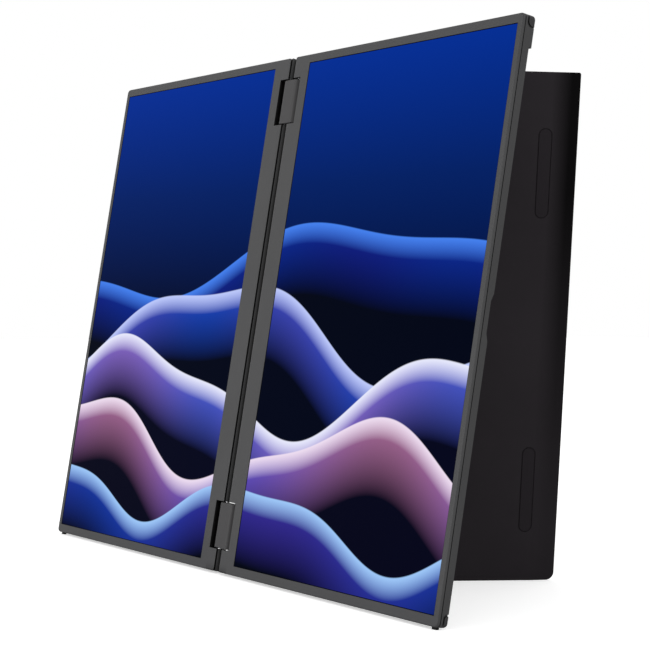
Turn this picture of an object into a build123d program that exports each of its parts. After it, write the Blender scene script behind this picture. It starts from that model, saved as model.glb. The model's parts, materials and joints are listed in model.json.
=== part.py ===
from build123d import *
from math import atan, cos, radians, sin, tan
import os

# Dual-screen portable monitor: two display panels that fold on two geared hinge blocks,
# with a slanted flap stand behind the right-hand panel. Lengths in mm, angles in degrees.
# Screens face -Y, +Z is up, and the origin is on the floor under the middle of the part.

# Displays
active_width = 200.6
active_height = 321.0
screen_gap = 39.8
glass_border = 1.7
glass_depth = 0.6
cell_depth = 1.0
cell_inset = 0.5

# Panels
panel_depth = 8.75
outer_bezel = 4.2
top_bezel = 5.5
bottom_bezel = 5.8
bezel_depth = 1.5
bezel_lip = 0.25
corner_radius = 3.0
inner_corner_radius = 2.4
front_round = 0.9
back_round = 0.9
side_wall = 1.6
back_wall = 1.2
seam_depth = 0.5
seam_inset = 0.5

# Fits
running_fit = 0.05
fixed_fit = 0.02
loose_fit = 0.15

# Hinge between the panels
barrel_gap = 1.0
barrel_groove = 1.0
bezel_overhang = 1.675
block_inset = 0.25
block_length = 28.8
block_round = 0.6
hinge_inset = 14.7
notch_clearance = 0.7
notch_side_gap = 2.5
notch_step = 4.4
hinge_wall = 1.4
end_wall = 3.0
cap_depth = 3.0
housing_wall = 1.2
bearing_depth = 2.0
gear_teeth = 13
gear_width = 5.0
gear_side_gap = 0.3
shaft_radius = 1.2
tip_radius = 1.0
idler_pin_radius = 0.6
idler_pin_seat = 1.5
bush_radius = 2.0
bush_bore = 1.1
bush_flange = 2.7
bush_flange_depth = 1.0
knuckle_radius = 2.7
knuckle_length = 12.0
bracket_reach = 34.0
bracket_depth = 1.0
bracket_boss = 1.2
bracket_screw_places = (12.0, 28.0)

# Screws
screw_radius = 0.8
screw_head_radius = 1.6
screw_head_depth = 0.6
screw_bite = 0.5
screw_boss_radius = 2.2

# Link cable
cable_radius = 0.8
cable_bend = 4.5
cable_low = 6.0
cable_lane = 25.0

# Boards
board_depth = 1.0
board_boss = 0.65
board_gap = 1.0
driver_board = (14.0, 78.0, 36.0, 72.0)
main_board_width = 60.0
main_board_low = 62.0
main_board_height = 150.0
board_screw_inset = 4.0
connector_height = 1.1
connector_width = 4.0
connector_length = 32.0
plug_size = (8.0, 5.0, 2.4)
chip_height = 1.2
ribbon_depth = 0.2
ribbon_width = 28.0
ribbon_flat = 13.0
ribbon_slope = 5.0

# Sockets on the left-hand panel's outer edge
usb_size = (8.94, 3.26, 7.35)
usb_wall = 0.32
usb_tongue = (6.7, 0.7, 4.5)
usb_places = (104.0, 124.0)
hdmi_size = (11.2, 3.2, 7.6)
hdmi_wall = 0.35
hdmi_slope = 1.1
hdmi_tongue = (8.2, 0.6, 4.6)
hdmi_place = 82.0
socket_back = 1.0
socket_sunk = 0.3

# Buttons on the left-hand panel's outer edge
button_size = (9.0, 2.2)
button_flange = (11.0, 3.0)
button_flange_depth = 0.8
button_flange_gap = 0.1
button_proud = 0.7
button_travel = 0.5
button_depth_place = 4.1
button_places = {"menu_button": 172.0, "power_button": 194.0}
switch_size = (4.4, 2.2)
switch_gap = 0.15
switch_top = 3.1

# Stand
stand_slant = 15.34
stand_open = 65.0
stand_foot_x = 42.4
stand_drop = 0.3
stand_top_inset = 19.1
stand_depth = 2.0
stand_closed_gap = 0.25
stand_side_gap = 0.3
stand_top_gap = 1.0
stand_corner = 5.0
stand_foot_corner = 4.0
stand_top_corner = 1.2
stand_round = 0.5
stand_bevel = 14.0
stand_bevel_drop = 0.9
lug_length = 18.0
lug_low = 46.0
lug_high = 44.3
lug_gap = 0.4
lug_pin_radius = 0.55
lug_pin_seat = 6.0
pad_size = (54.0, 8.5)
pad_depth = 0.75
pad_proud = 0.15
pad_gap = 0.6
pad_edge = 20.0
pad_low = 58.0
pad_high = 79.2
grip_length = 26.5
grip_width = 6.0
grip_depth = 1.4
grip_slope = 4.5
grip_place = 166.0

# Caps let into the outer corners, and the feet in front of the lower ones
corner_height = 6.5
corner_length = 9.0
corner_inner_round = 3.0
corner_back_round = 2.2
corner_gap = 1.0
corner_groove = 0.8
foot_depth = 1.7
foot_length = 4.0
foot_inset = 0.2

# Nut for a 1/4 inch tripod screw
nut_radius = 4.5
nut_depth = 5.0
nut_bore = 2.55
nut_floor = 0.6
nut_boss_wall = 1.2
nut_place = (46.0, 196.0)

# Spare length for cuts that run past a face
spare = 2.0

# Sizes that follow from those above
axis_spacing = panel_depth + barrel_gap
axis_x = axis_spacing / 2
axis_depth = panel_depth / 2
barrel_radius = panel_depth / 2
barrel_crest = axis_x - barrel_radius
bezel_edge = axis_x - bezel_overhang
barrel_rim = bezel_edge - barrel_groove
block_radius = barrel_radius - block_inset
block_reach = axis_x + block_radius
notch_reach = block_reach + notch_side_gap
active_inner = screen_gap / 2
panel_outer = active_inner + active_width + outer_bezel
panel_height = bottom_bezel + active_height + top_bezel
floor_depth = panel_depth - back_wall
glass_back = bezel_lip + glass_depth
cell_back = glass_back + cell_depth
corner_front = cell_back + loose_fit + back_wall + corner_gap
board_front = floor_depth - board_boss - board_depth
bracket_back = floor_depth - bracket_boss
bracket_front = bracket_back - bracket_depth
gear_pitch_radius = axis_spacing / 6
gear_module = 2 * gear_pitch_radius / gear_teeth
gear_room = gear_width + 2 * gear_side_gap
gear_start = block_length - cap_depth - gear_room + gear_side_gap
bearing_start = block_length - cap_depth - gear_room - bearing_depth
shaft_end = block_length + notch_clearance + hinge_wall + loose_fit + knuckle_length
recess_depth = stand_depth + stand_closed_gap
recess_floor = panel_depth - recess_depth
stand_axis_depth = panel_depth - stand_depth / 2
stand_width = panel_outer - stand_foot_x
stand_top = panel_height - stand_top_inset
slant = radians(stand_slant)
lug_places = (lug_low, stand_top / cos(slant) - lug_high)

# Each hinge by the end of its block that lies nearest the panel's end, and the way inwards
hinges = {"lower": (hinge_inset, 1), "upper": (panel_height - hinge_inset, -1)}
sides = {"right": 1, "left": -1}

# The stand's open angle sets the lean at which its bottom edge lies flat on the floor
lean = atan(sin(slant) * tan(radians(stand_open) / 2))
floor_drop = stand_drop * cos(lean) + (stand_axis_depth + stand_depth / 2) * sin(lean)


def screen_plane(origin):
    """The plane of the screens: X to the right, Y up the panels, Z towards the viewer."""
    return Plane(origin=origin, x_dir=(1, 0, 0), z_dir=(0, -cos(lean), sin(lean)))


def flap_plane(screens):
    """The open stand's middle plane, with its origin on the stand's hinge, as it lies when shut."""
    foot = screens.from_local_coords((stand_foot_x, 0, -stand_axis_depth))
    along = screens.x_dir * sin(slant) + screens.y_dir * cos(slant)
    hinge = Axis(foot, along)
    across_open = screens.x_dir.rotate(hinge, stand_open)
    facing_open = screens.z_dir.rotate(hinge, stand_open)
    return Plane(origin=foot, x_dir=across_open, z_dir=facing_open)


bench = screen_plane((0, 0, 0))
rear = flap_plane(bench).from_local_coords((stand_width, -stand_drop, -stand_depth / 2))
screen = screen_plane((0, -rear.Y / 2, floor_drop))
flap = flap_plane(screen)
flap_across = flap.x_dir * cos(slant) - flap.y_dir * sin(slant)
flap_along = flap.x_dir * sin(slant) + flap.y_dir * cos(slant)
shut_across = screen.x_dir * cos(slant) - screen.y_dir * sin(slant)


def spot(x, y, depth):
    """A point given across and up the panels and behind their front face."""
    return screen.from_local_coords((x, y, -depth))


def level(depth):
    """The plane at a depth behind the panels' front face, facing the viewer."""
    return screen.offset(-depth)


def across(x, y, way):
    """The plane square to the hinge axes, facing up the panels (1) or down (-1)."""
    return Plane(origin=spot(x, y, axis_depth), x_dir=screen.x_dir, z_dir=screen.y_dir * way)


def flank(side, y, depth):
    """The plane of a panel's outer edge, facing out, with X up the panel."""
    return Plane(origin=spot(side * panel_outer, y, depth), x_dir=screen.y_dir, z_dir=screen.x_dir * side)


def hinge_line(plane_across, v):
    """The plane square to the stand's hinge, v along it from its foot."""
    return Plane(origin=flap.origin + flap_along * v, x_dir=plane_across, z_dir=flap_along)


def keep(piece, name):
    """Labels a finished piece and writes it."""
    piece.part.label = name
    export_step(piece.part, f"parts/{name}.step")


def box_outline(side, inner, outer, low, high, mode=Mode.ADD):
    """A rectangle on one panel, from inner to outer across and from low to high up it."""
    with Locations((side * (inner + outer) / 2, (low + high) / 2)):
        Rectangle(outer - inner, high - low, mode=mode)


def panel_outline(side, inset):
    """A panel's front outline, from the crest of its hinge barrel to its outer edge."""
    box_outline(side, barrel_crest + inset, panel_outer - inset, inset, panel_height - inset)


def outer_corners(sketch, side):
    """The two corners of a panel outline that lie away from the hinge."""
    corners = sketch.vertices().sort_by(Axis.X)
    return corners[-2:] if side > 0 else corners[:2]


def inner_corners(sketch, side):
    """The two corners of a panel outline that lie at the hinge."""
    return outer_corners(sketch, -side)


def barrel_profile(side, radius):
    """A panel's cross-section: a round barrel about the hinge axis and a flat slab."""
    reach = panel_outer - axis_x + spare
    Circle(radius)
    with Locations((side * reach / 2, 0)):
        Rectangle(reach, 2 * radius)


def module_outline(side, grow):
    """The display's outline with its border, grown by a gap or shrunk by an inset."""
    border = glass_border + grow
    box_outline(
        side,
        active_inner - border,
        active_inner + active_width + border,
        bottom_bezel - border,
        bottom_bezel + active_height + border,
    )


def notch_outline(side, reach, grow):
    """The two notches in a panel's hinge edge that take the hinge blocks, up to a reach across."""
    room = notch_clearance + grow
    for end, way in hinges.values():
        middle = end + way * block_length / 2
        half = block_length / 2 + room
        box_outline(side, -spare, reach + grow, middle - half, middle + half)


def recess_outline(grow):
    """The recess that takes the shut stand, open at the panel's outer and bottom edges."""
    edge = -(stand_depth / 2 + stand_side_gap + grow) / cos(slant)
    top = stand_top + stand_top_gap + grow
    low = -spare - stand_drop
    beyond = panel_outer + spare
    Polygon(
        (stand_foot_x + edge + low * tan(slant), low),
        (beyond, low),
        (beyond, top),
        (stand_foot_x + edge + top * tan(slant), top),
        align=None,
    )


def corner_outline(side, top, grow, beyond):
    """One corner cap on a panel's outer edge, grown by a gap and run past the panel's faces."""
    back = panel_depth if top or side < 0 else recess_floor
    low = panel_height - corner_height - grow if top else -beyond
    high = panel_height + beyond if top else corner_height + grow
    front = corner_front - grow
    with BuildSketch(mode=Mode.PRIVATE) as block:
        with Locations(((low + high) / 2, -side * (front + back + beyond) / 2)):
            Rectangle(high - low, back + beyond - front)
        inner = low if top else high
        inner_round = min(corner_inner_round, 0.8 * (back - corner_front))
        fillet(block.vertices().sort_by_distance((inner, -side * front))[0], inner_round)
        if not beyond:
            ends = (high if top else low, -side * back)
            end_round = min(corner_back_round, 0.8 * (back - corner_front))
            fillet(block.vertices().sort_by_distance(ends)[0], end_round)
    add(block.sketch)


def screw_spots(side):
    """Where a panel's hinge brackets are screwed down."""
    reach = block_length + notch_clearance + hinge_wall + loose_fit + knuckle_length / 2
    spots = []
    for end, way in hinges.values():
        for place in bracket_screw_places:
            spots.append((side * (axis_x + place), end + way * reach))
    return spots


def board_span(side):
    """A board's span: its edge towards the hinge, outer edge, bottom and top."""
    if side > 0:
        x, y, width, height = driver_board
        return x, x + width, y, y + height
    outer = panel_outer - side_wall - board_gap
    return outer - main_board_width, outer, main_board_low, main_board_low + main_board_height


def board_spots(side):
    """Where a board is screwed down: near its four corners, clear of the buttons."""
    inner, outer, low, high = board_span(side)
    inset = board_screw_inset
    return [(side * x, y) for x in (inner + inset, outer - inset) for y in (low + inset, high - inset)]


def gear_phase(place):
    """How far a gear of the train is turned, so that its teeth mesh with the one before."""
    return (place * (gear_teeth + 1) % 2) * 180 / gear_teeth


def gear_outline(phase):
    """The outline of one gear, with a tooth that points to the left when phase is 0."""
    root = gear_pitch_radius - 1.2 * gear_module
    tip = gear_pitch_radius + 0.8 * gear_module
    flank_points = ((root, -0.28), (gear_pitch_radius, -0.2), (tip, -0.1))
    flank_points += ((tip, 0.1), (gear_pitch_radius, 0.2), (root, 0.28))
    corners = []
    for tooth in range(gear_teeth):
        for radius, share in flank_points:
            turn = radians(180 + phase + (tooth + share) * 360 / gear_teeth)
            corners.append((radius * cos(turn), radius * sin(turn)))
    Polygon(*corners, align=None)


def make_bezel(side):
    """Front frame with the display's window, which ends on the hinge barrel's front."""
    with BuildPart() as bezel:
        with BuildSketch(level(bezel_depth)) as outline:
            box_outline(side, bezel_edge, panel_outer, 0, panel_height)
            fillet(outer_corners(outline, side), corner_radius)
        extrude(amount=bezel_depth)
        front = bezel.faces().sort_by(Axis(screen.origin, screen.z_dir))[-1]
        rim = front.edges().filter_by(lambda e: side * screen.to_local_coords(e.center()).X > axis_x)
        fillet(rim, front_round)
        with BuildSketch(level(bezel_depth)) as ends:
            box_outline(side, bezel_edge, panel_outer + spare, 0, panel_height)
            fillet(inner_corners(ends, side), inner_corner_radius)
        extrude(amount=bezel_depth, mode=Mode.INTERSECT)
        with BuildSketch(across(side * axis_x, -spare, 1)):
            barrel_profile(side, barrel_radius)
        extrude(amount=panel_height + 2 * spare, mode=Mode.INTERSECT)
        with BuildSketch(level(bezel_depth)):
            module_outline(side, -glass_border)
        extrude(amount=bezel_depth, mode=Mode.SUBTRACT)
        with BuildSketch(level(bezel_depth)):
            module_outline(side, loose_fit)
        extrude(amount=bezel_depth - bezel_lip, mode=Mode.SUBTRACT)
        with BuildSketch(level(bezel_depth)):
            notch_outline(side, notch_reach, 0)
        extrude(amount=bezel_depth, mode=Mode.SUBTRACT)
    return bezel


def make_display(side, front, depth, inset):
    """One layer of the display behind the bezel's lip."""
    with BuildPart() as layer:
        with BuildSketch(level(front + depth)):
            module_outline(side, -inset)
        extrude(amount=depth)
    return layer


def make_cavity(side):
    """The room inside a back casing, left solid round notches, corners, recess, grip and nut."""
    with BuildPart() as cavity:
        with BuildSketch(level(floor_depth)):
            box_outline(side, barrel_crest, panel_outer - side_wall, side_wall, panel_height - side_wall)
        extrude(amount=floor_depth - bezel_depth)
        with BuildSketch(across(side * axis_x, -spare, 1)):
            barrel_profile(side, barrel_radius - back_wall)
        extrude(amount=panel_height + 2 * spare, mode=Mode.INTERSECT)
        with BuildSketch(level(panel_depth)):
            notch_outline(side, notch_reach, hinge_wall)
        extrude(amount=panel_depth, mode=Mode.SUBTRACT)
        with BuildSketch(flank(side, 0, 0)):
            corner_outline(side, True, corner_gap + back_wall, spare)
            corner_outline(side, False, corner_gap + back_wall, spare)
        extrude(amount=-(corner_length + back_wall), mode=Mode.SUBTRACT)
        if side > 0:
            with BuildSketch(level(panel_depth)):
                recess_outline(back_wall)
            extrude(amount=recess_depth + back_wall, mode=Mode.SUBTRACT)
            with BuildSketch(level(recess_floor)):
                with Locations((panel_outer, grip_place)):
                    Rectangle(2 * (grip_width + back_wall), grip_length + 2 * back_wall)
            extrude(amount=grip_depth + back_wall, mode=Mode.SUBTRACT)
            with BuildSketch(level(panel_depth)):
                with Locations(nut_place):
                    Circle(nut_radius + nut_boss_wall)
            extrude(amount=nut_depth + nut_boss_wall, mode=Mode.SUBTRACT)
    return cavity


def make_slab(side):
    """The outer shape of a panel behind the seam, before its barrel is rounded."""
    with BuildPart() as slab:
        with BuildSketch(level(panel_depth)) as outline:
            panel_outline(side, 0)
            fillet(outer_corners(outline, side), corner_radius)
            fillet(inner_corners(outline, side), inner_corner_radius)
        extrude(amount=panel_depth - bezel_depth - seam_depth)
        back = slab.faces().sort_by(Axis(screen.origin, screen.z_dir))[0]
        rim = back.edges().filter_by(lambda e: side * screen.to_local_coords(e.center()).X > axis_x)
        fillet(rim, back_round)
    return slab


def make_casing(side):
    """Back casing: a tray with the hinge barrel, notches, screw bosses and corner pockets."""
    slab = make_slab(side)
    cavity = make_cavity(side)
    with BuildPart() as casing:
        add(slab.part)
        with BuildSketch(level(bezel_depth + seam_depth)) as lip:
            panel_outline(side, seam_inset)
            fillet(outer_corners(lip, side), corner_radius - seam_inset)
            fillet(inner_corners(lip, side), inner_corner_radius - seam_inset)
        extrude(amount=seam_depth)
        with BuildSketch(level(bezel_depth + seam_depth)) as rim:
            panel_outline(side, 0)
            fillet(inner_corners(rim, side), inner_corner_radius)
            box_outline(side, barrel_rim, panel_outer + spare, -spare, panel_height + spare, Mode.SUBTRACT)
        extrude(amount=bezel_depth + seam_depth)
        with BuildSketch(across(side * axis_x, -spare, 1)):
            barrel_profile(side, barrel_radius)
        extrude(amount=panel_height + 2 * spare, mode=Mode.INTERSECT)
        add(cavity.part, mode=Mode.SUBTRACT)
        for reach, depth in ((notch_reach, notch_step), (block_reach + notch_clearance, panel_depth)):
            with BuildSketch(level(depth)):
                notch_outline(side, reach, 0)
            extrude(amount=depth, mode=Mode.SUBTRACT)
        for grow, reach in ((fixed_fit, corner_length + fixed_fit), (corner_gap, corner_groove)):
            with BuildSketch(flank(side, 0, 0)):
                corner_outline(side, True, grow, spare)
                corner_outline(side, False, grow, spare)
            extrude(amount=-reach, mode=Mode.SUBTRACT)
        with BuildSketch(level(floor_depth)):
            with Locations(*screw_spots(side)):
                Circle(screw_boss_radius)
        extrude(amount=bracket_boss)
        with BuildSketch(level(floor_depth)):
            with Locations(*board_spots(side)):
                Circle(screw_boss_radius)
        extrude(amount=board_boss)
        with BuildSketch(level(floor_depth + screw_bite)):
            with Locations(*screw_spots(side), *board_spots(side)):
                Circle(screw_radius + fixed_fit)
        extrude(amount=screw_bite + bracket_boss, mode=Mode.SUBTRACT)
        for end, way in hinges.values():
            with BuildSketch(across(side * axis_x, end + way * block_length, way)):
                Circle(shaft_radius + loose_fit)
            extrude(amount=notch_clearance + hinge_wall, mode=Mode.SUBTRACT)
            with BuildSketch(across(side * axis_x, end, -way)):
                Circle(bush_radius + fixed_fit)
            extrude(amount=notch_clearance + hinge_wall, mode=Mode.SUBTRACT)
        if side > 0:
            with BuildSketch(level(panel_depth)):
                recess_outline(0)
            extrude(amount=recess_depth, mode=Mode.SUBTRACT)
            with BuildSketch(flank(side, grip_place, recess_floor)):
                half = grip_length / 2
                flat = half - grip_slope
                Polygon((-half, 0), (half, 0), (flat, grip_depth), (-flat, grip_depth), align=None)
            extrude(amount=-grip_width, mode=Mode.SUBTRACT)
            with BuildSketch(level(panel_depth)):
                with Locations(nut_place):
                    Circle(nut_radius + fixed_fit)
            extrude(amount=nut_depth, mode=Mode.SUBTRACT)
        else:
            for place in usb_places:
                with BuildSketch(flank(-1, place, board_front - usb_size[1] / 2)):
                    SlotOverall(usb_size[0] + 2 * loose_fit, usb_size[1] + 2 * loose_fit)
                extrude(amount=-(side_wall + board_gap), mode=Mode.SUBTRACT)
            with BuildSketch(flank(-1, hdmi_place, board_front - hdmi_size[1] / 2)):
                hdmi_outline(loose_fit)
            extrude(amount=-(side_wall + board_gap), mode=Mode.SUBTRACT)
            for place in button_places.values():
                with BuildSketch(flank(-1, place, button_depth_place)):
                    SlotOverall(button_size[0] + 2 * loose_fit, button_size[1] + 2 * loose_fit)
                extrude(amount=-(side_wall + board_gap), mode=Mode.SUBTRACT)
    return casing


def make_bracket(side, end, way):
    """Hinge bracket: a knuckle round the pinion shaft and an arm screwed to the casing."""
    base = across(side * axis_x, end, way).offset(shaft_end - knuckle_length)
    middle = (bracket_front + bracket_back) / 2 - axis_depth
    with BuildPart() as bracket:
        with BuildSketch(base):
            Circle(knuckle_radius)
            with Locations((side * bracket_reach / 2, way * middle)):
                Rectangle(bracket_reach, bracket_depth)
        extrude(amount=knuckle_length)
        with BuildSketch(base):
            Circle(shaft_radius + fixed_fit)
        extrude(amount=knuckle_length, mode=Mode.SUBTRACT)
        with BuildSketch(level(bracket_back)):
            with Locations(*screw_spots(side)):
                Circle(screw_radius + loose_fit)
        extrude(amount=bracket_depth, mode=Mode.SUBTRACT)
    return bracket


def make_screws(spots, seat, length):
    """A group of pan-head screws, heads on the seat's depth, shanks going back."""
    with BuildPart() as screws:
        with BuildSketch(level(seat)):
            with Locations(*spots):
                Circle(screw_head_radius)
        extrude(amount=screw_head_depth)
        with BuildSketch(level(seat + length)):
            with Locations(*spots):
                Circle(screw_radius)
        extrude(amount=length)
    return screws


def make_pinion(side, end, way):
    """Pinion shaft: bearing tip, gear and the shaft that the bracket holds."""
    base = across(side * axis_x, end, way)
    place = 0 if side > 0 else 3
    with BuildPart() as pinion:
        with BuildSketch(base.offset(bearing_start)):
            Circle(tip_radius)
        extrude(amount=gear_start - bearing_start)
        with BuildSketch(base.offset(gear_start)):
            gear_outline(gear_phase(place))
        extrude(amount=gear_width)
        with BuildSketch(base.offset(gear_start + gear_width)):
            Circle(shaft_radius)
        extrude(amount=shaft_end - gear_start - gear_width)
    return pinion


def make_bush(side, end, way):
    """Hollow pivot bush in a panel's barrel, on which the block turns and the cable passes."""
    base = across(side * axis_x, end, way)
    wall_back = notch_clearance + hinge_wall
    with BuildPart() as bush:
        with BuildSketch(base.offset(-wall_back)):
            Circle(bush_radius)
        extrude(amount=wall_back + end_wall)
        with BuildSketch(base.offset(-wall_back)):
            Circle(bush_flange)
        extrude(amount=-bush_flange_depth)
        with BuildSketch(base.offset(end_wall)):
            Circle(bush_bore)
        extrude(amount=-(end_wall + wall_back + bush_flange_depth), mode=Mode.SUBTRACT)
    return bush


def make_corner(side, top):
    """One soft cap, flush with the casing round it."""
    slab = make_slab(side)
    with BuildPart() as corner:
        add(slab.part)
        with BuildSketch(flank(side, 0, 0)):
            corner_outline(side, top, 0, 0)
        extrude(amount=-corner_length, mode=Mode.INTERSECT)
    return corner


def make_corners(side):
    """The soft caps in a panel's two outer corners."""
    upper = make_corner(side, True)
    lower = make_corner(side, False)
    with BuildPart() as corners:
        add(upper.part)
        add(lower.part)
    return corners


def make_foot(side):
    """Rubber foot under a panel's lower outer corner, cut flat by the floor."""
    outer = panel_outer - corner_radius - foot_inset
    with BuildPart() as foot:
        with BuildSketch(level(bezel_depth + seam_depth + foot_inset + foot_depth)):
            box_outline(side, outer - foot_length, outer, -floor_drop - spare, 0)
        extrude(amount=foot_depth)
        split(bisect_by=Plane.XY, keep=Keep.TOP)
    return foot


def make_housing(end, way):
    """Hinge block's housing, open towards the end cap."""
    base = across(0, end, way)
    with BuildPart() as housing:
        with BuildSketch(base):
            SlotOverall(axis_spacing + 2 * block_radius, 2 * block_radius)
        extrude(amount=block_length - cap_depth)
        fillet(housing.faces().sort_by(Axis(base.origin, base.z_dir))[0].edges(), block_round)
        with BuildSketch(base.offset(end_wall)):
            SlotOverall(axis_spacing + 2 * (block_radius - housing_wall), 2 * (block_radius - housing_wall))
        extrude(amount=block_length - cap_depth - end_wall, mode=Mode.SUBTRACT)
        with BuildSketch(base):
            with Locations((axis_x, 0), (-axis_x, 0)):
                Circle(bush_radius + running_fit)
        extrude(amount=end_wall, mode=Mode.SUBTRACT)
    return housing


def make_cap(end, way):
    """Hinge block's end cap, with the bearings of the two pinion shafts and the idlers' pin holes."""
    base = across(0, end, way).offset(block_length - cap_depth)
    with BuildPart() as cap:
        with BuildSketch(base):
            SlotOverall(axis_spacing + 2 * block_radius, 2 * block_radius)
        extrude(amount=cap_depth)
        fillet(cap.faces().sort_by(Axis(base.origin, base.z_dir))[-1].edges(), block_round)
        with BuildSketch(base):
            with Locations((axis_x, 0), (-axis_x, 0)):
                Circle(shaft_radius + running_fit)
        extrude(amount=cap_depth, mode=Mode.SUBTRACT)
        with BuildSketch(base):
            with Locations((gear_pitch_radius, 0), (-gear_pitch_radius, 0)):
                Circle(idler_pin_radius + fixed_fit)
        extrude(amount=idler_pin_seat, mode=Mode.SUBTRACT)
    return cap


def make_bearing_plate(end, way):
    """Plate inside the block that carries the pinion tips and the idlers' pins."""
    base = across(0, end, way).offset(bearing_start)
    room = 2 * (block_radius - housing_wall - fixed_fit)
    with BuildPart() as plate:
        with BuildSketch(base):
            SlotOverall(axis_spacing + room, room)
            with Locations((axis_x, 0), (-axis_x, 0)):
                Circle(tip_radius + running_fit, mode=Mode.SUBTRACT)
        extrude(amount=bearing_depth)
        with BuildSketch(base.offset(bearing_depth)):
            with Locations((gear_pitch_radius, 0), (-gear_pitch_radius, 0)):
                Circle(idler_pin_radius + fixed_fit)
        extrude(amount=-idler_pin_seat, mode=Mode.SUBTRACT)
    return plate


def make_idler_pins(end, way):
    """Pins of the two idler gears."""
    base = across(0, end, way).offset(bearing_start + bearing_depth - idler_pin_seat)
    with BuildPart() as pins:
        with BuildSketch(base):
            with Locations((gear_pitch_radius, 0), (-gear_pitch_radius, 0)):
                Circle(idler_pin_radius)
        extrude(amount=gear_room + 2 * idler_pin_seat)
    return pins


def make_idler(side, end, way):
    """Idler gear next to one panel's pinion."""
    base = across(side * gear_pitch_radius, end, way)
    with BuildPart() as idler:
        with BuildSketch(base.offset(gear_start)):
            gear_outline(gear_phase(1 if side > 0 else 2))
            Circle(idler_pin_radius + running_fit, mode=Mode.SUBTRACT)
        extrude(amount=gear_width)
    return idler


def make_board(side, chips, plug):
    """Circuit board with its chips, ribbon connector and link cable plug, as one assembled piece."""
    inner, outer, low, high = board_span(side)
    connector_x, connector_y = ribbon_seat(side)
    with BuildPart() as board:
        with BuildSketch(level(board_front + board_depth)):
            box_outline(side, inner, outer, low, high)
            with Locations(*board_spots(side)):
                Circle(screw_radius + loose_fit, mode=Mode.SUBTRACT)
        extrude(amount=board_depth)
        with BuildSketch(level(board_front)):
            for x, y, width, height in chips:
                with Locations((side * (inner + x), low + y)):
                    Rectangle(width, height)
        extrude(amount=chip_height)
        with BuildSketch(level(board_front)):
            with Locations((side * connector_x, connector_y)):
                Rectangle(connector_width, connector_length)
        extrude(amount=connector_height)
        with BuildSketch(level(board_front)):
            with Locations((side * plug[0], plug[1])):
                Rectangle(plug[2], plug[3])
        extrude(amount=plug_size[2])
    return board


def ribbon_seat(side):
    """Where the display ribbon's connector sits on a board."""
    inner, outer, low, high = board_span(side)
    if side > 0:
        return outer - connector_width, (low + high) / 2
    return inner + connector_width, (low + high) / 2


def make_ribbon(side):
    """Display ribbon, from the back of the display cell to the board's connector."""
    seat_x, seat_y = ribbon_seat(side)
    toward = 1 if side > 0 else -1
    end_depth = board_front - connector_height - ribbon_depth - axis_depth
    start_depth = cell_back - axis_depth
    half = connector_width / 2
    run = [
        (seat_x - toward * half, end_depth),
        (seat_x + toward * half, end_depth),
        (seat_x + toward * (half + ribbon_slope), start_depth),
        (seat_x + toward * (half + ribbon_slope + ribbon_flat), start_depth),
    ]
    outline = [(side * x, y) for x, y in run] + [(side * x, y + ribbon_depth) for x, y in reversed(run)]
    with BuildPart() as ribbon:
        with BuildSketch(across(0, seat_y - ribbon_width / 2, 1)):
            Polygon(*outline, align=None)
        extrude(amount=ribbon_width)
    return ribbon


def link_route(side, plug):
    """The link cable's way in a panel, from the lower hinge's bush to the board's plug."""
    start = [(side * axis_x, hinge_inset), (side * axis_x, cable_low), (side * cable_lane, cable_low)]
    if side > 0:
        return start + [(side * cable_lane, plug[1] - plug[3] / 2)]
    return start + [(side * cable_lane, plug[1]), (side * (plug[0] - plug[2] / 2), plug[1])]


def make_link_cable(side, plug):
    """Link cable inside a panel."""
    with BuildPart() as cable:
        with BuildLine(level(axis_depth)) as route:
            FilletPolyline(*link_route(side, plug), radius=cable_bend)
        with BuildSketch(across(side * axis_x, hinge_inset, -1)):
            Circle(cable_radius)
        sweep(path=route.wires()[0])
    return cable


def make_block_cable():
    """Link cable where it turns back inside the lower hinge block."""
    straight = bearing_start - axis_x - 2 * cable_radius
    middle = Plane(origin=spot(0, hinge_inset, axis_depth), x_dir=screen.x_dir, z_dir=screen.z_dir)
    with BuildPart() as cable:
        with BuildLine(middle) as turn:
            Line((axis_x, 0), (axis_x, straight))
            ThreePointArc((axis_x, straight), (0, straight + axis_x), (-axis_x, straight))
            Line((-axis_x, straight), (-axis_x, 0))
        with BuildSketch(across(axis_x, hinge_inset, 1)):
            Circle(cable_radius)
        sweep(path=turn.wires()[0])
    return cable


def hdmi_outline(grow):
    """A mini HDMI socket's mouth: a bar with two corners cut."""
    half = hdmi_size[0] / 2 + grow
    tall = hdmi_size[1] / 2 + grow
    Polygon(
        (-half, tall),
        (half, tall),
        (half, tall - hdmi_size[1] / 2),
        (half - hdmi_slope, -tall),
        (-half + hdmi_slope, -tall),
        (-half, tall - hdmi_size[1] / 2),
        align=None,
    )


def make_usb_socket(place):
    """USB-C socket: a stadium-shaped metal shell with its tongue."""
    mouth = flank(-1, place, board_front - usb_size[1] / 2).offset(-socket_sunk)
    with BuildPart() as socket:
        with BuildSketch(mouth):
            SlotOverall(usb_size[0], usb_size[1])
        extrude(amount=-usb_size[2])
        with BuildSketch(mouth):
            SlotOverall(usb_size[0] - 2 * usb_wall, usb_size[1] - 2 * usb_wall)
        extrude(amount=-(usb_size[2] - socket_back), mode=Mode.SUBTRACT)
        with BuildSketch(mouth.offset(-(usb_size[2] - socket_back))):
            Rectangle(usb_tongue[0], usb_tongue[1])
        extrude(amount=usb_tongue[2])
    return socket


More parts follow.
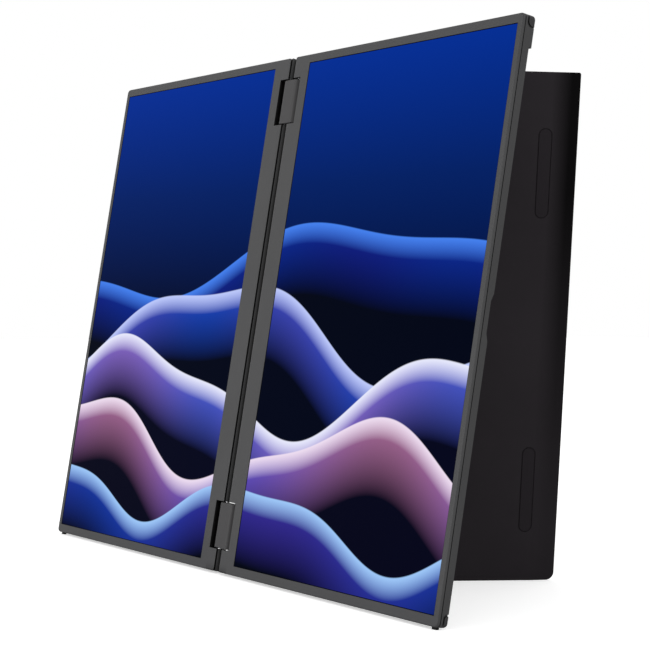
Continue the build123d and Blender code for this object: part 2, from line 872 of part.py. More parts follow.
def make_hdmi_socket():
    """Mini HDMI socket: a metal shell with its tongue."""
    mouth = flank(-1, hdmi_place, board_front - hdmi_size[1] / 2).offset(-socket_sunk)
    with BuildPart() as socket:
        with BuildSketch(mouth):
            hdmi_outline(0)
        extrude(amount=-hdmi_size[2])
        with BuildSketch(mouth):
            hdmi_outline(-hdmi_wall)
        extrude(amount=-(hdmi_size[2] - socket_back), mode=Mode.SUBTRACT)
        with BuildSketch(mouth.offset(-(hdmi_size[2] - socket_back))):
            Rectangle(hdmi_tongue[0], hdmi_tongue[1])
        extrude(amount=hdmi_tongue[2])
    return socket


def make_button(place):
    """Edge button: a stadium-shaped cap with the flange that keeps it in the casing."""
    face = flank(-1, place, button_depth_place)
    inside = -(side_wall + button_flange_gap)
    with BuildPart() as button:
        with BuildSketch(face.offset(inside)):
            SlotOverall(button_size[0], button_size[1])
        extrude(amount=button_proud - inside)
        fillet(button.faces().sort_by(Axis(face.origin, face.z_dir))[-1].edges(), button_proud / 2)
        with BuildSketch(face.offset(inside)):
            Rectangle(button_flange[0], button_flange[1])
        extrude(amount=-button_flange_depth)
    return button


def make_switches():
    """Switches on the main board behind the buttons."""
    tall = board_front - switch_top
    reach = side_wall + button_flange_gap + button_flange_depth + button_travel + switch_gap
    with BuildPart() as switches:
        for place in button_places.values():
            with BuildSketch(flank(-1, place, switch_top + tall / 2).offset(-reach)):
                Rectangle(switch_size[0], tall)
            extrude(amount=-switch_size[1])
    return switches


def make_nut():
    """Threaded nut for a tripod screw, flush with the casing's back."""
    with BuildPart() as nut:
        with BuildSketch(level(panel_depth)):
            with Locations(nut_place):
                Circle(nut_radius)
        extrude(amount=nut_depth)
        with BuildSketch(level(panel_depth)):
            with Locations(nut_place):
                Circle(nut_bore)
        extrude(amount=nut_depth - nut_floor, mode=Mode.SUBTRACT)
    return nut


def make_lugs():
    """Fixed lugs of the stand's hinge, standing on the floor of the recess."""
    foot = recess_depth - stand_depth / 2
    with BuildPart() as lugs:
        for place in lug_places:
            base = hinge_line(shut_across, place - lug_length / 2)
            with BuildSketch(base):
                Circle(stand_depth / 2)
                with Locations((0, -foot / 2)):
                    Rectangle(stand_depth, foot)
                Circle(lug_pin_radius + running_fit, mode=Mode.SUBTRACT)
            extrude(amount=lug_length)
    return lugs


def make_stand_plate():
    """Flap of the stand: a trapezoid plate with a rounded hinge edge, pad pockets and a bevelled edge."""
    inner_face = stand_depth / 2
    foot_run = stand_foot_corner / tan(radians(90 - stand_slant) / 2)
    foot_x = -stand_drop * tan(slant)
    hinge_low = foot_run - stand_drop / cos(slant)
    hinge_high = (stand_top - stand_depth / 2 * sin(slant)) / cos(slant)
    with BuildPart() as plate:
        with BuildSketch(flap.offset(-inner_face)) as outline:
            Polygon(
                (foot_x, -stand_drop),
                (stand_width, -stand_drop),
                (stand_width, stand_top),
                (stand_top * tan(slant), stand_top),
                align=None,
            )
            free = outline.vertices().sort_by(Axis.X)[-2:].sort_by(Axis.Y)
            fillet(free[0], stand_corner)
            fillet(outline.vertices().sort_by(Axis.Y)[-2:].sort_by(Axis.X)[-1], stand_top_corner)
        extrude(amount=stand_depth)
        outside = plate.faces().sort_by(Axis(flap.origin, flap.z_dir))[0]
        rim = outside.edges().filter_by(lambda e: abs(e.tangent_at(0.5).dot(flap_along)) < 0.99)
        fillet(rim, stand_round)
        with BuildSketch(flap.offset(-inner_face)):
            Polygon(
                (foot_x + foot_run, -stand_drop - spare),
                (foot_x + foot_run, stand_foot_corner - stand_drop),
                (foot_x + foot_run * sin(slant), foot_run * cos(slant) - stand_drop),
                (foot_x - spare, foot_run * cos(slant) - stand_drop),
                (foot_x - spare, -stand_drop - spare),
                align=None,
            )
            with Locations((foot_x + foot_run, stand_foot_corner - stand_drop)):
                Circle(stand_foot_corner, mode=Mode.SUBTRACT)
        extrude(amount=stand_depth, mode=Mode.SUBTRACT)
        with BuildSketch(hinge_line(flap_across, hinge_low)):
            Circle(stand_depth / 2)
        extrude(amount=hinge_high - hinge_low)
        bevel_plane = Plane(origin=flap.from_local_coords((stand_width, -stand_drop - spare, inner_face)),
                            x_dir=flap.x_dir, z_dir=flap.y_dir)
        with BuildSketch(bevel_plane):
            Polygon((0, 0), (-stand_bevel, 0), (0, stand_bevel_drop), align=None)
        extrude(amount=stand_top + stand_drop + 2 * spare, mode=Mode.SUBTRACT)
        for place in lug_places:
            cut = Plane(origin=flap.origin + flap_along * place, x_dir=flap_across, z_dir=flap.z_dir)
            with BuildSketch(cut):
                Rectangle(stand_depth + 2 * lug_gap, lug_length + 2 * lug_gap)
            extrude(amount=stand_depth, both=True, mode=Mode.SUBTRACT)
            with BuildSketch(hinge_line(flap_across, place)):
                Circle(lug_pin_radius + fixed_fit)
            extrude(amount=lug_length / 2 + lug_gap + lug_pin_seat, both=True, mode=Mode.SUBTRACT)
        with BuildSketch(flap.offset(inner_face)):
            with Locations(*pad_spots()):
                SlotOverall(pad_size[0], pad_size[1], rotation=90)
        extrude(amount=-(pad_depth - pad_proud), mode=Mode.SUBTRACT)
    return plate


def pad_spots():
    """The middles of the two pads on the stand, from the hinge's foot."""
    x = stand_width - pad_edge
    return [(x, pad_low), (x, panel_height - pad_high)]


def make_pads():
    """Soft pads let into the stand's inner face."""
    with BuildPart() as pads:
        with BuildSketch(flap.offset(stand_depth / 2 + pad_proud)):
            with Locations(*pad_spots()):
                SlotOverall(pad_size[0] - 2 * pad_gap, pad_size[1] - 2 * pad_gap, rotation=90)
        extrude(amount=-pad_depth)
    return pads


def make_stand_pins():
    """Pins of the stand's hinge, held in the flap and turning in the lugs."""
    with BuildPart() as pins:
        for place in lug_places:
            with BuildSketch(hinge_line(flap_across, place)):
                Circle(lug_pin_radius)
            extrude(amount=lug_length / 2 + lug_gap + lug_pin_seat, both=True)
    return pins


# Chips on each board: place from the board's lower inner corner, width and height
driver_chips = ((10.0, 20.0, 9.0, 9.0), (10.0, 50.0, 11.0, 7.0), (21.0, 60.0, 5.0, 5.0))
main_chips = ((22.0, 40.0, 14.0, 14.0), (26.0, 110.0, 16.0, 16.0))
main_chips += ((14.0, 20.0, 8.0, 6.0), (30.0, 75.0, 9.0, 9.0))

# Link cable plugs: place and size across and up the panel
driver_plug = (cable_lane, driver_board[1] + plug_size[1] / 2, plug_size[0], plug_size[1])
main_plug_x = board_span(-1)[0] + plug_size[1] / 2
main_plug = (main_plug_x, main_board_low + main_board_height / 3, plug_size[1], plug_size[0])

os.makedirs("parts", exist_ok=True)

for name, side in sides.items():
    keep(make_bezel(side), f"{name}_bezel")
    keep(make_display(side, bezel_lip, glass_depth, 0), f"{name}_display_glass")
    keep(make_display(side, glass_back, cell_depth, cell_inset), f"{name}_display_cell")
    keep(make_casing(side), f"{name}_back_casing")
    keep(make_corners(side), f"{name}_corner_caps")
    keep(make_foot(side), f"{name}_foot")
    keep(make_ribbon(side), f"{name}_display_ribbon")
    keep(make_screws(screw_spots(side), bracket_front, bracket_depth + bracket_boss + screw_bite),
         f"{name}_bracket_screws")
    keep(make_screws(board_spots(side), board_front, board_depth + board_boss + screw_bite),
         f"{name}_board_screws")
    for place, (end, way) in hinges.items():
        keep(make_bracket(side, end, way), f"{name}_{place}_hinge_bracket")
        keep(make_pinion(side, end, way), f"{name}_{place}_pinion_shaft")
        keep(make_bush(side, end, way), f"{name}_{place}_pivot_bush")
        keep(make_idler(side, end, way), f"{place}_{name}_idler_gear")

for place, (end, way) in hinges.items():
    keep(make_housing(end, way), f"{place}_hinge_housing")
    keep(make_cap(end, way), f"{place}_hinge_cap")
    keep(make_bearing_plate(end, way), f"{place}_bearing_plate")
    keep(make_idler_pins(end, way), f"{place}_idler_pins")

keep(make_board(1, driver_chips, driver_plug), "right_driver_board")
keep(make_board(-1, main_chips, main_plug), "left_main_board")
keep(make_link_cable(1, driver_plug), "right_link_cable")
keep(make_link_cable(-1, main_plug), "left_link_cable")
keep(make_block_cable(), "hinge_link_cable")

for place, name in zip(usb_places, ("lower_usb_c_socket", "upper_usb_c_socket")):
    keep(make_usb_socket(place), name)
keep(make_hdmi_socket(), "mini_hdmi_socket")
for name, place in button_places.items():
    keep(make_button(place), name)
keep(make_switches(), "button_switches")

keep(make_nut(), "tripod_nut")
keep(make_lugs(), "stand_hinge_lugs")
keep(make_stand_plate(), "stand_plate")
keep(make_pads(), "stand_pads")
keep(make_stand_pins(), "stand_hinge_pins")
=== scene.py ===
import json
import math

import bmesh
import bpy
from mathutils import Matrix, Quaternion, Vector


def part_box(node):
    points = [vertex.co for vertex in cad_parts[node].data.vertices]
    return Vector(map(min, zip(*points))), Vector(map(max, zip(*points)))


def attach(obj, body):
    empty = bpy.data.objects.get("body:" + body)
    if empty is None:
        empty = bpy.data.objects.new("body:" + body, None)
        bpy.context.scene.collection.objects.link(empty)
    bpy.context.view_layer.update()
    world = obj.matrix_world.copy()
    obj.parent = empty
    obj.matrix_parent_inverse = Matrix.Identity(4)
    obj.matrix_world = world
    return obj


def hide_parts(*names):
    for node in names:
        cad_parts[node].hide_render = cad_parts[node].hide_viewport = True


# Dual-screen portable monitor: finishes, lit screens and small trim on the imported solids.
# Metres, screens face -Y, +Z up, floor at Z = 0.

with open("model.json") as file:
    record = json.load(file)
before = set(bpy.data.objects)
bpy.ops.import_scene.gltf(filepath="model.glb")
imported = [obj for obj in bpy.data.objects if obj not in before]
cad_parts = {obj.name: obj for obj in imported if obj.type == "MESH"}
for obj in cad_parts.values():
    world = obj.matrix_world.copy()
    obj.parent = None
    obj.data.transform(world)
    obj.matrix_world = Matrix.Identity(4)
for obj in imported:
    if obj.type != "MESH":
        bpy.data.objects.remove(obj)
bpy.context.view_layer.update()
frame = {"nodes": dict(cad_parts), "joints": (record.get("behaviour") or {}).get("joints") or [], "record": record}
nodes = frame["nodes"]
joints = {joint["name"]: joint for joint in frame["joints"]}

# Camera, as the photograph was taken: to the right of the screens, at half their height
image_side = 650.0
sensor_width = 36.0
focal_pixels = 1747.5
camera_place = Vector((0.94114, -0.65277, 0.1713))
camera_yaw = math.radians(145.379)
camera_pitch = math.radians(-0.721)
camera_roll = math.radians(0.585)
camera_range = 50.0

# Panels and displays
panel_depth = 0.00875
active_inner = 0.0199
active_width = 0.2006
active_low = 0.0058
active_height = 0.321
dark_border = 0.0004

# Painted shade in narrow gaps, from ambient occlusion: how near surfaces have to face each other, and how open a
# point is where it is near black and where it has its full colour, in seams by themselves and in the wider gaps
# about the fold
gap_reach = 0.003
gap_black = 0.3
gap_clear = 0.75
gap_shade_colour = (2, 2, 2)
gap_samples = 12
fold_reach = 0.009
fold_black = 0.66
fold_clear = 0.95
fold_zone = 0.0125
fold_blend = 0.0005

# Frame of the leaning panels, from the fold's axis, which lies at half their depth
panel_right = Vector((1.0, 0.0, 0.0))
panel_up = Vector(joints["left_fold"]["axis"]).normalized()
panel_back = panel_up.cross(panel_right).normalized()
panel_origin = Vector(joints["left_fold"]["pos_m"]) - panel_back * panel_depth / 2
panel_origin.x = 0.0

# Frame of the open stand, from its hinge
stand_axis = Vector(joints["stand_swing"]["axis"]).normalized()
stand_open = math.radians(-joints["stand_swing"]["range_deg"][0])
stand_foot = Vector(joints["stand_swing"]["pos_m"])
stand_across = Matrix.Rotation(stand_open, 3, stand_axis) @ panel_right
stand_width = 0.1823

# Painted shade in a band along the stand's free edge: its width and full depth, and its strength by height on the
# displays
band_width = 0.017
band_full = 0.0051
band_low = 0.2 * active_height
band_high = 0.8 * active_height
edge_shade_faint = 0.22
edge_shade_colour = (7, 6, 7)

# Nut for a 1/4 inch tripod screw with 20 threads to the inch
nut_mount = next(mount for mount in frame["record"]["mounts"] if mount["name"] == "tripod_thread")
nut_place = Vector(nut_mount["pos_m"])
nut_axis = Vector(nut_mount["axis"]).normalized()
nut_minor = nut_mount["dims"]["r_mm"] / 1000
nut_bore = nut_mount["dims"]["length_mm"] / 1000
nut_major = 0.003175
nut_radius = 0.0045
nut_depth = 0.005
nut_chamfer = 0.00025
thread_pitch = 0.00127
thread_lift = 1.15
thread_slope = 1.35
thread_steps = 10
nut_sides = 64
nut_sharp_angle = math.radians(35)

# Contacts on the sockets' tongues: contacts on each face, their spacing, the tongue's depth,
# and how far its tip lies inside the mouth
contact_width = 0.00025
contact_length = 0.0034
contact_proud = 0.00004
tongues = {
    "lower_usb_c": (12, 0.0005, 0.0007, 0.00185),
    "upper_usb_c": (12, 0.0005, 0.0007, 0.00185),
    "mini_hdmi": (10, 0.0008, 0.0006, 0.002),
}

# Noise in the finishes: where its dark and its light end lie
noise_dark = 0.3
noise_light = 0.7

# Grain of moulded and blasted surfaces, under faint clouds of tone
cloud_scale = 14.0
cloud_detail = 3.0
cloud_share = 0.6
grain_gloss = 0.06
grain_depth = 0.0002

# Fine lines of drawn and turned metal
line_scale = 900.0
line_stretch = (1.0, 1.0, 0.04)
line_gloss = 0.08
line_relief = 0.1
line_depth = 0.0001

# Cover glass
glass_clouds = 60.0
glass_smooth = 0.16
glass_dull = 0.24
glass_shine = 0.003
glass_colour = (2, 3, 6)
border_colour = (1, 1, 2)
border_blend = 0.0001

# Studio: the lamps' aim, and each one's place, side and power, with the light of the surround and the floor
lamp_aim = (0.0, 0.0, 0.15)
lamps = {
    "key": ((-0.6, -1.9, 0.35), 1.4, 17.0),
    "side": ((1.9, -0.3, 1.1), 1.2, 10.5),
}
surround_light = 0.75
floor_reach = 6.0
floor_white = (0.9, 0.9, 0.9, 1.0)
floor_glow = 0.5
white = (1.0, 1.0, 1.0, 1.0)


def linear(red, green, blue):
    """A colour picked on a screen, 0 to 255, as the light values that the shaders take."""
    values = []
    for value in (red, green, blue):
        share = value / 255
        values.append(share / 12.92 if share <= 0.04045 else ((share + 0.055) / 1.055) ** 2.4)
    return (*values, 1.0)


class Finish:
    """One material, with short ways to add its nodes."""

    def __init__(self, name):
        self.material = bpy.data.materials.new(name)
        self.material.use_nodes = True
        self.tree = self.material.node_tree
        self.shader = self.tree.nodes["Principled BSDF"]
        self.place = self.tree.nodes.new("ShaderNodeTexCoord").outputs["Object"]

    def feed(self, socket, value):
        """Sets a socket to a value, or links another socket to it."""
        if isinstance(value, bpy.types.NodeSocket):
            self.tree.links.new(value, socket)
        else:
            socket.default_value = value

    def set(self, **inputs):
        """Sets or links the shader's own inputs, with underscores for spaces in their names."""
        for name, value in inputs.items():
            self.feed(self.shader.inputs[name.replace("_", " ")], value)

    def math(self, operation, first, second=0.0, third=0.0):
        """A sum, product or other function of numbers."""
        node = self.tree.nodes.new("ShaderNodeMath")
        node.operation = operation
        for socket, value in zip(node.inputs, (first, second, third)):
            self.feed(socket, value)
        return node.outputs[0]

    def along(self, direction, start):
        """How far a point lies from a start along a direction."""
        node = self.tree.nodes.new("ShaderNodeVectorMath")
        node.operation = "DOT_PRODUCT"
        self.feed(node.inputs[0], self.place)
        node.inputs[1].default_value = direction
        return self.math("SUBTRACT", node.outputs["Value"], direction.dot(start))

    def mix(self, share, first, second):
        """A blend of two colours."""
        node = self.tree.nodes.new("ShaderNodeMix")
        node.data_type = "RGBA"
        self.feed(node.inputs["Factor"], share)
        self.feed(node.inputs["A"], first)
        self.feed(node.inputs["B"], second)
        return node.outputs["Result"]

    def ramp(self, share, stops):
        """A colour that changes along a share from 0 to 1."""
        node = self.tree.nodes.new("ShaderNodeValToRGB")
        elements = node.color_ramp.elements
        while len(elements) < len(stops):
            elements.new(0.5)
        for element, (position, colour) in zip(elements, stops):
            element.position = position
            element.color = colour
        self.feed(node.inputs["Fac"], share)
        return node.outputs["Color"]

    def range(self, value, low, high, new_low, new_high):
        """A number moved from one span to another, held at the ends."""
        node = self.tree.nodes.new("ShaderNodeMapRange")
        for name, entry in zip(("Value", "From Min", "From Max", "To Min", "To Max"),
                               (value, low, high, new_low, new_high)):
            self.feed(node.inputs[name], entry)
        return node.outputs["Result"]

    def noise(self, scale, detail=2.0, stretch=None):
        """Fractal noise over the object's own coordinates."""
        node = self.tree.nodes.new("ShaderNodeTexNoise")
        node.inputs["Scale"].default_value = scale
        node.inputs["Detail"].default_value = detail
        place = self.place
        if stretch:
            mapping = self.tree.nodes.new("ShaderNodeMapping")
            mapping.inputs["Scale"].default_value = stretch
            self.feed(mapping.inputs["Vector"], place)
            place = mapping.outputs["Vector"]
        self.feed(node.inputs["Vector"], place)
        return node.outputs["Fac"]

    def bump(self, height, strength, distance):
        """Fine relief on the surface."""
        node = self.tree.nodes.new("ShaderNodeBump")
        node.inputs["Strength"].default_value = strength
        node.inputs["Distance"].default_value = distance
        self.feed(node.inputs["Height"], height)
        self.feed(self.shader.inputs["Normal"], node.outputs["Normal"])

    def wave(self, place, swings):
        """A sum of sine waves, each given by its height, frequency and phase."""
        total = 0.0
        for height, frequency, phase in swings:
            turn = self.math("MULTIPLY_ADD", place, frequency, phase)
            total = self.math("MULTIPLY_ADD", self.math("SINE", turn), height, total)
        return total

    def shade_gaps(self, colour, reach=gap_reach, black=gap_black, clear=gap_clear):
        """The colour with painted shade: near black deep in seams, grooves and narrow gaps, as ambient occlusion
        finds them.
        """
        node = self.tree.nodes.new("ShaderNodeAmbientOcclusion")
        node.samples = gap_samples
        self.feed(node.inputs["Distance"], reach)
        open_share = self.range(node.outputs["AO"], black, clear, 0.0, 1.0)
        return self.mix(open_share, linear(*gap_shade_colour), colour)


def dye(material, name):
    """Gives a node its finish."""
    slots = nodes[name].data.materials
    slots.clear()
    slots.append(material)


def grained(name, dark, light, roughness, grain, relief, metal=0.0, shine=0.3, change=None):
    """A moulded or blasted surface: fine grain, faint clouds of tone and uneven gloss."""
    finish = Finish(name)
    clouds = finish.noise(cloud_scale, cloud_detail)
    speckle = finish.noise(grain)
    fine_tone = finish.math("MULTIPLY", speckle, 1 - cloud_share)
    tone = finish.math("MULTIPLY_ADD", clouds, cloud_share, fine_tone)
    colour = finish.ramp(tone, ((noise_dark, dark), (noise_light, light)))
    finish.set(
        Base_Color=change(finish, colour) if change else colour,
        Roughness=finish.range(
            speckle, noise_dark, noise_light, roughness - grain_gloss, roughness + grain_gloss),
        Metallic=metal,
        Specular_IOR_Level=shine,
    )
    finish.bump(speckle, relief, grain_depth)
    return finish.material


def shade_panel(finish, colour):
    """A panel's colour with painted shade: near black in its seams and, save on its flat back, in the gaps about
    the fold.
    """
    aside = finish.math("ABSOLUTE", finish.along(panel_right, panel_origin))
    away = finish.range(aside, fold_zone - fold_blend, fold_zone, 0.0, 1.0)
    depth = finish.along(panel_back, panel_origin)
    flat = finish.range(depth, panel_depth - fold_blend, panel_depth, 0.0, 1.0)
    away = finish.math("MAXIMUM", away, flat)
    reach = finish.range(away, 0.0, 1.0, fold_reach, gap_reach)
    black = finish.range(away, 0.0, 1.0, fold_black, gap_black)
    clear = finish.range(away, 0.0, 1.0, fold_clear, gap_clear)
    return finish.shade_gaps(colour, reach, black, clear)


def shade_stand(finish, colour):
    """The stand's coat colour, with painted shade darkening it along the free edge, most of all at its top."""
    reach = finish.along(stand_across, stand_foot)
    share = finish.range(reach, stand_width - band_width, stand_width - band_full, 0.0, 1.0)
    rise = finish.along(panel_up, panel_origin)
    height = finish.range(rise, band_low, band_high, edge_shade_faint, 1.0)
    return finish.mix(finish.math("MULTIPLY", share, height), colour, linear(*edge_shade_colour))


def drawn(name, dark, light, roughness):
    """Turned or drawn metal, with fine lines."""
    finish = Finish(name)
    lines = finish.noise(line_scale, stretch=line_stretch)
    finish.set(
        Base_Color=finish.ramp(lines, ((noise_dark, dark), (noise_light, light))),
        Roughness=finish.range(
            lines, noise_dark, noise_light, roughness - line_gloss, roughness + line_gloss),
        Metallic=1.0,
        Specular_IOR_Level=0.5,
    )
    finish.bump(lines, line_relief, line_depth)
    return finish.material


# The picture on the lit screens: rolling layers of soft colour, one over another, each given by
# its height, its waves and the colours of its crest, its body in two tints and its depth
layers = (
    (0.60, ((0.07, 2.6, 0.4), (0.022, 6.1, 1.0)),
     (70, 130, 240), (10, 42, 150), (16, 32, 138), (1, 4, 20)),
    (0.47, ((0.09, 3.1, 2.2), (0.026, 7.3, 0.3)),
     (192, 204, 252), (64, 74, 190), (26, 70, 190), (1, 4, 22)),
    (0.35, ((0.08, 3.7, 4.0), (0.024, 8.1, 2.0)),
     (234, 236, 253), (138, 108, 206), (76, 92, 210), (3, 4, 26)),
    (0.23, ((0.07, 4.1, 5.3), (0.020, 9.0, 1.2)),
     (240, 224, 242), (168, 108, 152), (100, 82, 200), (4, 4, 24)),
    (0.11, ((0.05, 4.9, 0.9), (0.016, 10.0, 3.0)),
     (160, 202, 250), (22, 58, 170), (56, 46, 156), (1, 3, 16)),
)

# The sky above them, from the picture's foot to its top
sky = ((0.0, (1, 3, 12)), (0.5, (1, 9, 40)), (0.75, (2, 32, 100)), (1.0, (2, 46, 148)))

# How a layer fades below its line: the height of its fall on the picture, then shares of that fall for
# where it starts to darken, where it is darkest and where its bright crest ends, and its line's half width
layer_fall = 0.2
fade_start = 0.04
fade_end = 0.7
crest_end = 0.2
layer_edge = 0.0012

# How a layer's two tints take turns across the picture, faster and later in the higher layers
tint_swing = 0.5
tint_rate = 2.2
tint_rate_rise = 9
tint_phase_rise = 7


def lit_screen():
    """Cover glass over a lit display that shows the picture, with a dark border round it."""
    finish = Finish("lit_screen")
    x = finish.along(panel_right, panel_origin)
    y = finish.along(panel_up, panel_origin)
    span = active_inner + active_width
    across = finish.math("DIVIDE", x, span)
    height = finish.math("DIVIDE", finish.math("SUBTRACT", y, active_low), active_height)
    picture = finish.ramp(height, [(place, linear(*colour)) for place, colour in sky])
    for base, swings, crest, body, tint, deep in layers:
        line = finish.math("ADD", finish.wave(across, swings), base)
        below = finish.math("SUBTRACT", line, height)
        turns = (tint_swing, tint_rate + tint_rate_rise * base, tint_phase_rise * base)
        share = finish.math("ADD", finish.wave(across, (turns,)), tint_swing)
        tinted = finish.mix(share, linear(*body), linear(*tint))
        fall = finish.range(below, 0.0, layer_fall, 0.0, 1.0)
        tone = finish.mix(finish.range(fall, fade_start, fade_end, 0.0, 1.0), tinted, linear(*deep))
        tone = finish.mix(finish.range(fall, 0.0, crest_end, 1.0, 0.0), tone, linear(*crest))
        edge = finish.range(below, -layer_edge, layer_edge, 0.0, 1.0)
        picture = finish.mix(edge, picture, tone)
    side = finish.math("SUBTRACT", finish.math("ABSOLUTE", x), active_inner + active_width / 2)
    sideways = finish.math("SUBTRACT", active_width / 2 - dark_border, finish.math("ABSOLUTE", side))
    middle = finish.math("SUBTRACT", y, active_low + active_height / 2)
    upright = finish.math("SUBTRACT", active_height / 2 - dark_border, finish.math("ABSOLUTE", middle))
    inside = finish.range(finish.math("MINIMUM", sideways, upright), 0.0, border_blend, 0.0, 1.0)
    finish.set(
        Base_Color=linear(*glass_colour),
        Roughness=finish.range(finish.noise(glass_clouds), noise_dark, noise_light, glass_smooth, glass_dull),
        Specular_IOR_Level=glass_shine,
        Emission_Color=finish.mix(inside, linear(*border_colour), picture),
        Emission_Strength=1.0,
    )
    return finish.material


def add_piece(name, mesh, finish, body):
    """Puts a new piece on a CAD body, with its finish."""
    mesh.materials.append(finish)
    piece = bpy.data.objects.new(name, mesh)
    bpy.context.scene.collection.objects.link(piece)
    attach(piece, body)
    return piece


def make_contacts(name, count, spacing, tongue_depth, tip):
    """Gold contact strips along both faces of a socket's tongue."""
    low, high = (Vector(corner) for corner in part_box(f"{name}_socket"))
    middle = (low + high) / 2
    middle.x = low.x + tip + contact_length / 2
    turn = Matrix((panel_right, panel_up, panel_back)).transposed().to_4x4()
    size = Matrix.Diagonal((contact_length, contact_width, contact_proud, 1.0))
    strips = bmesh.new()
    for face in (-1, 1):
        for place in range(count):
            up = (place - (count - 1) / 2) * spacing
            out = face * (tongue_depth + contact_proud) / 2
            spot = Matrix.Translation(middle + panel_up * up + panel_back * out)
            bmesh.ops.create_cube(strips, size=1.0, matrix=spot @ turn @ size)
    mesh = bpy.data.meshes.new(f"{name}_contacts")
    strips.to_mesh(mesh)
    strips.free()
    add_piece(mesh.name, mesh, brass, "left_panel")


def thread_groove(turns):
    """How deep the thread is some turns along, from 0 on its flat crest to 1 in its flat root."""
    share = abs(2 * (turns % 1.0) - 1)
    return min(max(thread_lift - thread_slope * share, 0.0), 1.0)


def make_nut():
    """The brass nut with its thread cut into the bore, flush with the casing's back."""
    rim = [(nut_radius, nut_depth), (nut_radius, nut_chamfer), (nut_radius - nut_chamfer, 0.0)]
    rim += [(nut_major + nut_chamfer, 0.0)]
    run = nut_bore - 2 * nut_chamfer
    steps = round(run / thread_pitch * thread_steps)
    depths = [nut_chamfer + run * step / steps for step in range(steps + 1)]
    across_nut = panel_right
    up_nut = nut_axis.cross(across_nut).normalized()
    points = []
    for side in range(nut_sides):
        turn = side / nut_sides
        out = across_nut * math.cos(2 * math.pi * turn) + up_nut * math.sin(2 * math.pi * turn)
        bore = [(nut_minor + (nut_major - nut_minor) * thread_groove(depth / thread_pitch + turn), depth)
                for depth in depths]
        for radius, depth in rim + bore + [(nut_minor, nut_bore)]:
            points.append(nut_place + out * radius - nut_axis * depth)
    rows = len(points) // nut_sides
    faces = []
    for side in range(nut_sides):
        here = side * rows
        there = (side + 1) % nut_sides * rows
        faces += [(here + row, there + row, there + row + 1, here + row + 1) for row in range(rows - 1)]
    faces.append([side * rows + rows - 1 for side in range(nut_sides)])
    faces.append([side * rows for side in reversed(range(nut_sides))])
    mesh = bpy.data.meshes.new("threaded_nut")
    mesh.from_pydata(points, [], faces)
    shape = bmesh.new()
    shape.from_mesh(mesh)
    bmesh.ops.recalc_face_normals(shape, faces=shape.faces)
    shape.to_mesh(mesh)
    shape.free()
    mesh.shade_smooth()
    mesh.set_sharp_from_angle(angle=nut_sharp_angle)
    nut = add_piece("threaded_nut", mesh, brass, "right_panel")
    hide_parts("tripod_nut")


def make_camera():
    """The camera at the photograph's place, turned as it was."""
    data = bpy.data.cameras.new("camera")
    data.sensor_width = sensor_width
    data.lens = sensor_width * focal_pixels / image_side
    data.clip_end = camera_range
    look = Vector((math.cos(camera_pitch) * math.cos(camera_yaw),
                   math.cos(camera_pitch) * math.sin(camera_yaw), math.sin(camera_pitch)))
    camera = bpy.data.objects.new("camera", data)
    camera.location = camera_place
    turn = look.to_track_quat("-Z", "Y") @ Quaternion((0.0, 0.0, 1.0), camera_roll)
    camera.rotation_euler = turn.to_euler()
    bpy.context.scene.collection.objects.link(camera)
    bpy.context.scene.camera = camera


def make_lamp(name, place, size, power):
    """A square soft lamp, turned to the object."""
    data = bpy.data.lights.new(name, "AREA")
    data.size = size
    data.energy = power
    lamp = bpy.data.objects.new(name, data)
    lamp.location = place
    lamp.rotation_euler = (Vector(lamp_aim) - Vector(place)).to_track_quat("-Z", "Y").to_euler()
    bpy.context.scene.collection.objects.link(lamp)


def make_world():
    """A white surround to the eye and in reflections, with softer light on the object."""
    world = bpy.data.worlds.new("studio")
    bpy.context.scene.world = world
    world.use_nodes = True
    tree = world.node_tree
    background = tree.nodes["Background"]
    background.inputs["Color"].default_value = white
    path = tree.nodes.new("ShaderNodeLightPath")
    seen = path.outputs["Is Camera Ray"]
    for name in ("Is Glossy Ray", "Is Transmission Ray"):
        either = tree.nodes.new("ShaderNodeMath")
        either.operation = "MAXIMUM"
        tree.links.new(seen, either.inputs[0])
        tree.links.new(path.outputs[name], either.inputs[1])
        seen = either.outputs[0]
    strength = tree.nodes.new("ShaderNodeMapRange")
    tree.links.new(seen, strength.inputs["Value"])
    strength.inputs["To Min"].default_value = surround_light
    strength.inputs["To Max"].default_value = 1.0
    tree.links.new(strength.outputs["Result"], background.inputs["Strength"])


def make_floor():
    """A plain white floor, a little brighter to the eye than by the lamps alone."""
    bpy.ops.mesh.primitive_plane_add(size=2 * floor_reach, location=(0.0, 0.0, 0.0))
    floor = bpy.context.active_object
    floor.name = "floor"
    finish = Finish("floor_paper")
    path = finish.tree.nodes.new("ShaderNodeLightPath")
    finish.set(
        Base_Color=floor_white,
        Roughness=0.9,
        Specular_IOR_Level=0.1,
        Emission_Color=white,
        Emission_Strength=finish.math("MULTIPLY", path.outputs["Is Camera Ray"], floor_glow),
    )
    floor.data.materials.append(finish.material)


make_camera()
make_world()
make_floor()
for lamp_name, settings in lamps.items():
    make_lamp(lamp_name, *settings)
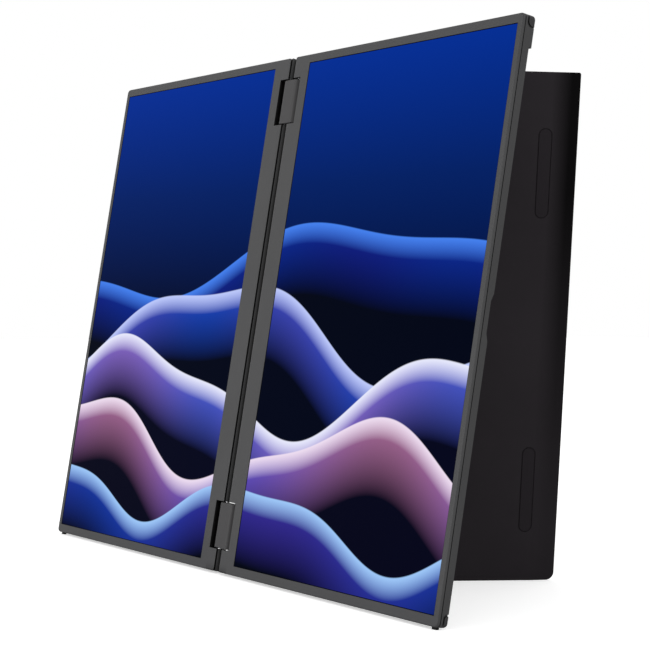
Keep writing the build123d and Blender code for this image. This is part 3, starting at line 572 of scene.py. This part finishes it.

# Bezel and casing carry painted shade in their seams and in the gaps about the fold, through shade_panel
bezel = grained(
    "bezel_plastic", linear(50, 50, 51), linear(59, 59, 60), roughness=0.5, grain=2600.0, relief=0.12,
    change=shade_panel)
casing = grained(
    "casing_metal", linear(46, 46, 47), linear(55, 55, 56), roughness=0.45, grain=3200.0, relief=0.1,
    change=shade_panel)
hinge = grained(
    "hinge_paint", linear(44, 43, 44), linear(51, 50, 51), roughness=0.45, grain=2400.0, relief=0.1)
# The stand's coat carries a band of painted shade along its free edge, through shade_stand
stand = grained(
    "stand_coat", linear(38, 35, 38), linear(45, 42, 45), roughness=0.6, grain=2400.0, relief=0.1,
    shine=0.03, change=shade_stand)
pads = grained(
    "stand_pads", linear(36, 33, 36), linear(42, 39, 42), roughness=0.8, grain=1800.0, relief=0.2, shine=0.03)
rubber = grained(
    "rubber", linear(14, 14, 14), linear(22, 22, 22), roughness=0.8, grain=1800.0, relief=0.2, shine=0.2)
# The corner rubber carries painted shade in its grooves and gaps, through shade_gaps
corners = grained(
    "corner_rubber", linear(42, 42, 43), linear(51, 51, 52), roughness=0.65, grain=1800.0, relief=0.2,
    shine=0.25, change=Finish.shade_gaps)
button = grained(
    "button_plastic", linear(52, 52, 53), linear(64, 64, 65), roughness=0.4, grain=2600.0, relief=0.1)
switch = grained(
    "switch_plastic", linear(90, 90, 90), linear(110, 110, 110), roughness=0.5, grain=2600.0, relief=0.1)
laminate = grained(
    "board_laminate", linear(20, 70, 48), linear(28, 90, 60), roughness=0.45, grain=1800.0, relief=0.2)
film = grained(
    "ribbon_film", linear(150, 96, 34), linear(178, 118, 48), roughness=0.35, grain=1200.0, relief=0.1)
jacket = grained(
    "cable_jacket", linear(20, 20, 20), linear(30, 30, 30), roughness=0.6, grain=1800.0, relief=0.2)
cell = grained(
    "display_backing", linear(150, 152, 155), linear(172, 174, 176), roughness=0.35, grain=1600.0, relief=0.1,
    metal=0.8)
steel = drawn("steel", linear(150, 150, 152), linear(190, 190, 192), roughness=0.3)
plated = drawn("socket_metal", linear(176, 176, 178), linear(206, 206, 208), roughness=0.22)
brass = drawn("bearing_brass", linear(170, 140, 84), linear(206, 176, 116), roughness=0.3)
screen = lit_screen()

finishes = {
    "bezel_plastic": bezel, "casing_metal": casing, "stand_metal": stand, "display_glass": screen,
    "display_cell": cell, "rubber": rubber, "corner_rubber": corners, "hinge_metal": hinge, "steel": steel,
    "bearing_brass": brass, "board_laminate": laminate, "ribbon_film": film, "cable_jacket": jacket,
    "socket_metal": plated, "switch_plastic": switch, "button_plastic": button,
}
for subpart in frame["record"]["subparts"]:
    dye(finishes[subpart["material_slot"]], subpart["node"])
dye(pads, "stand_pads")

make_nut()
for socket, sizes in tongues.items():
    make_contacts(socket, *sizes)

bpy.context.scene.view_settings.view_transform = "Standard"
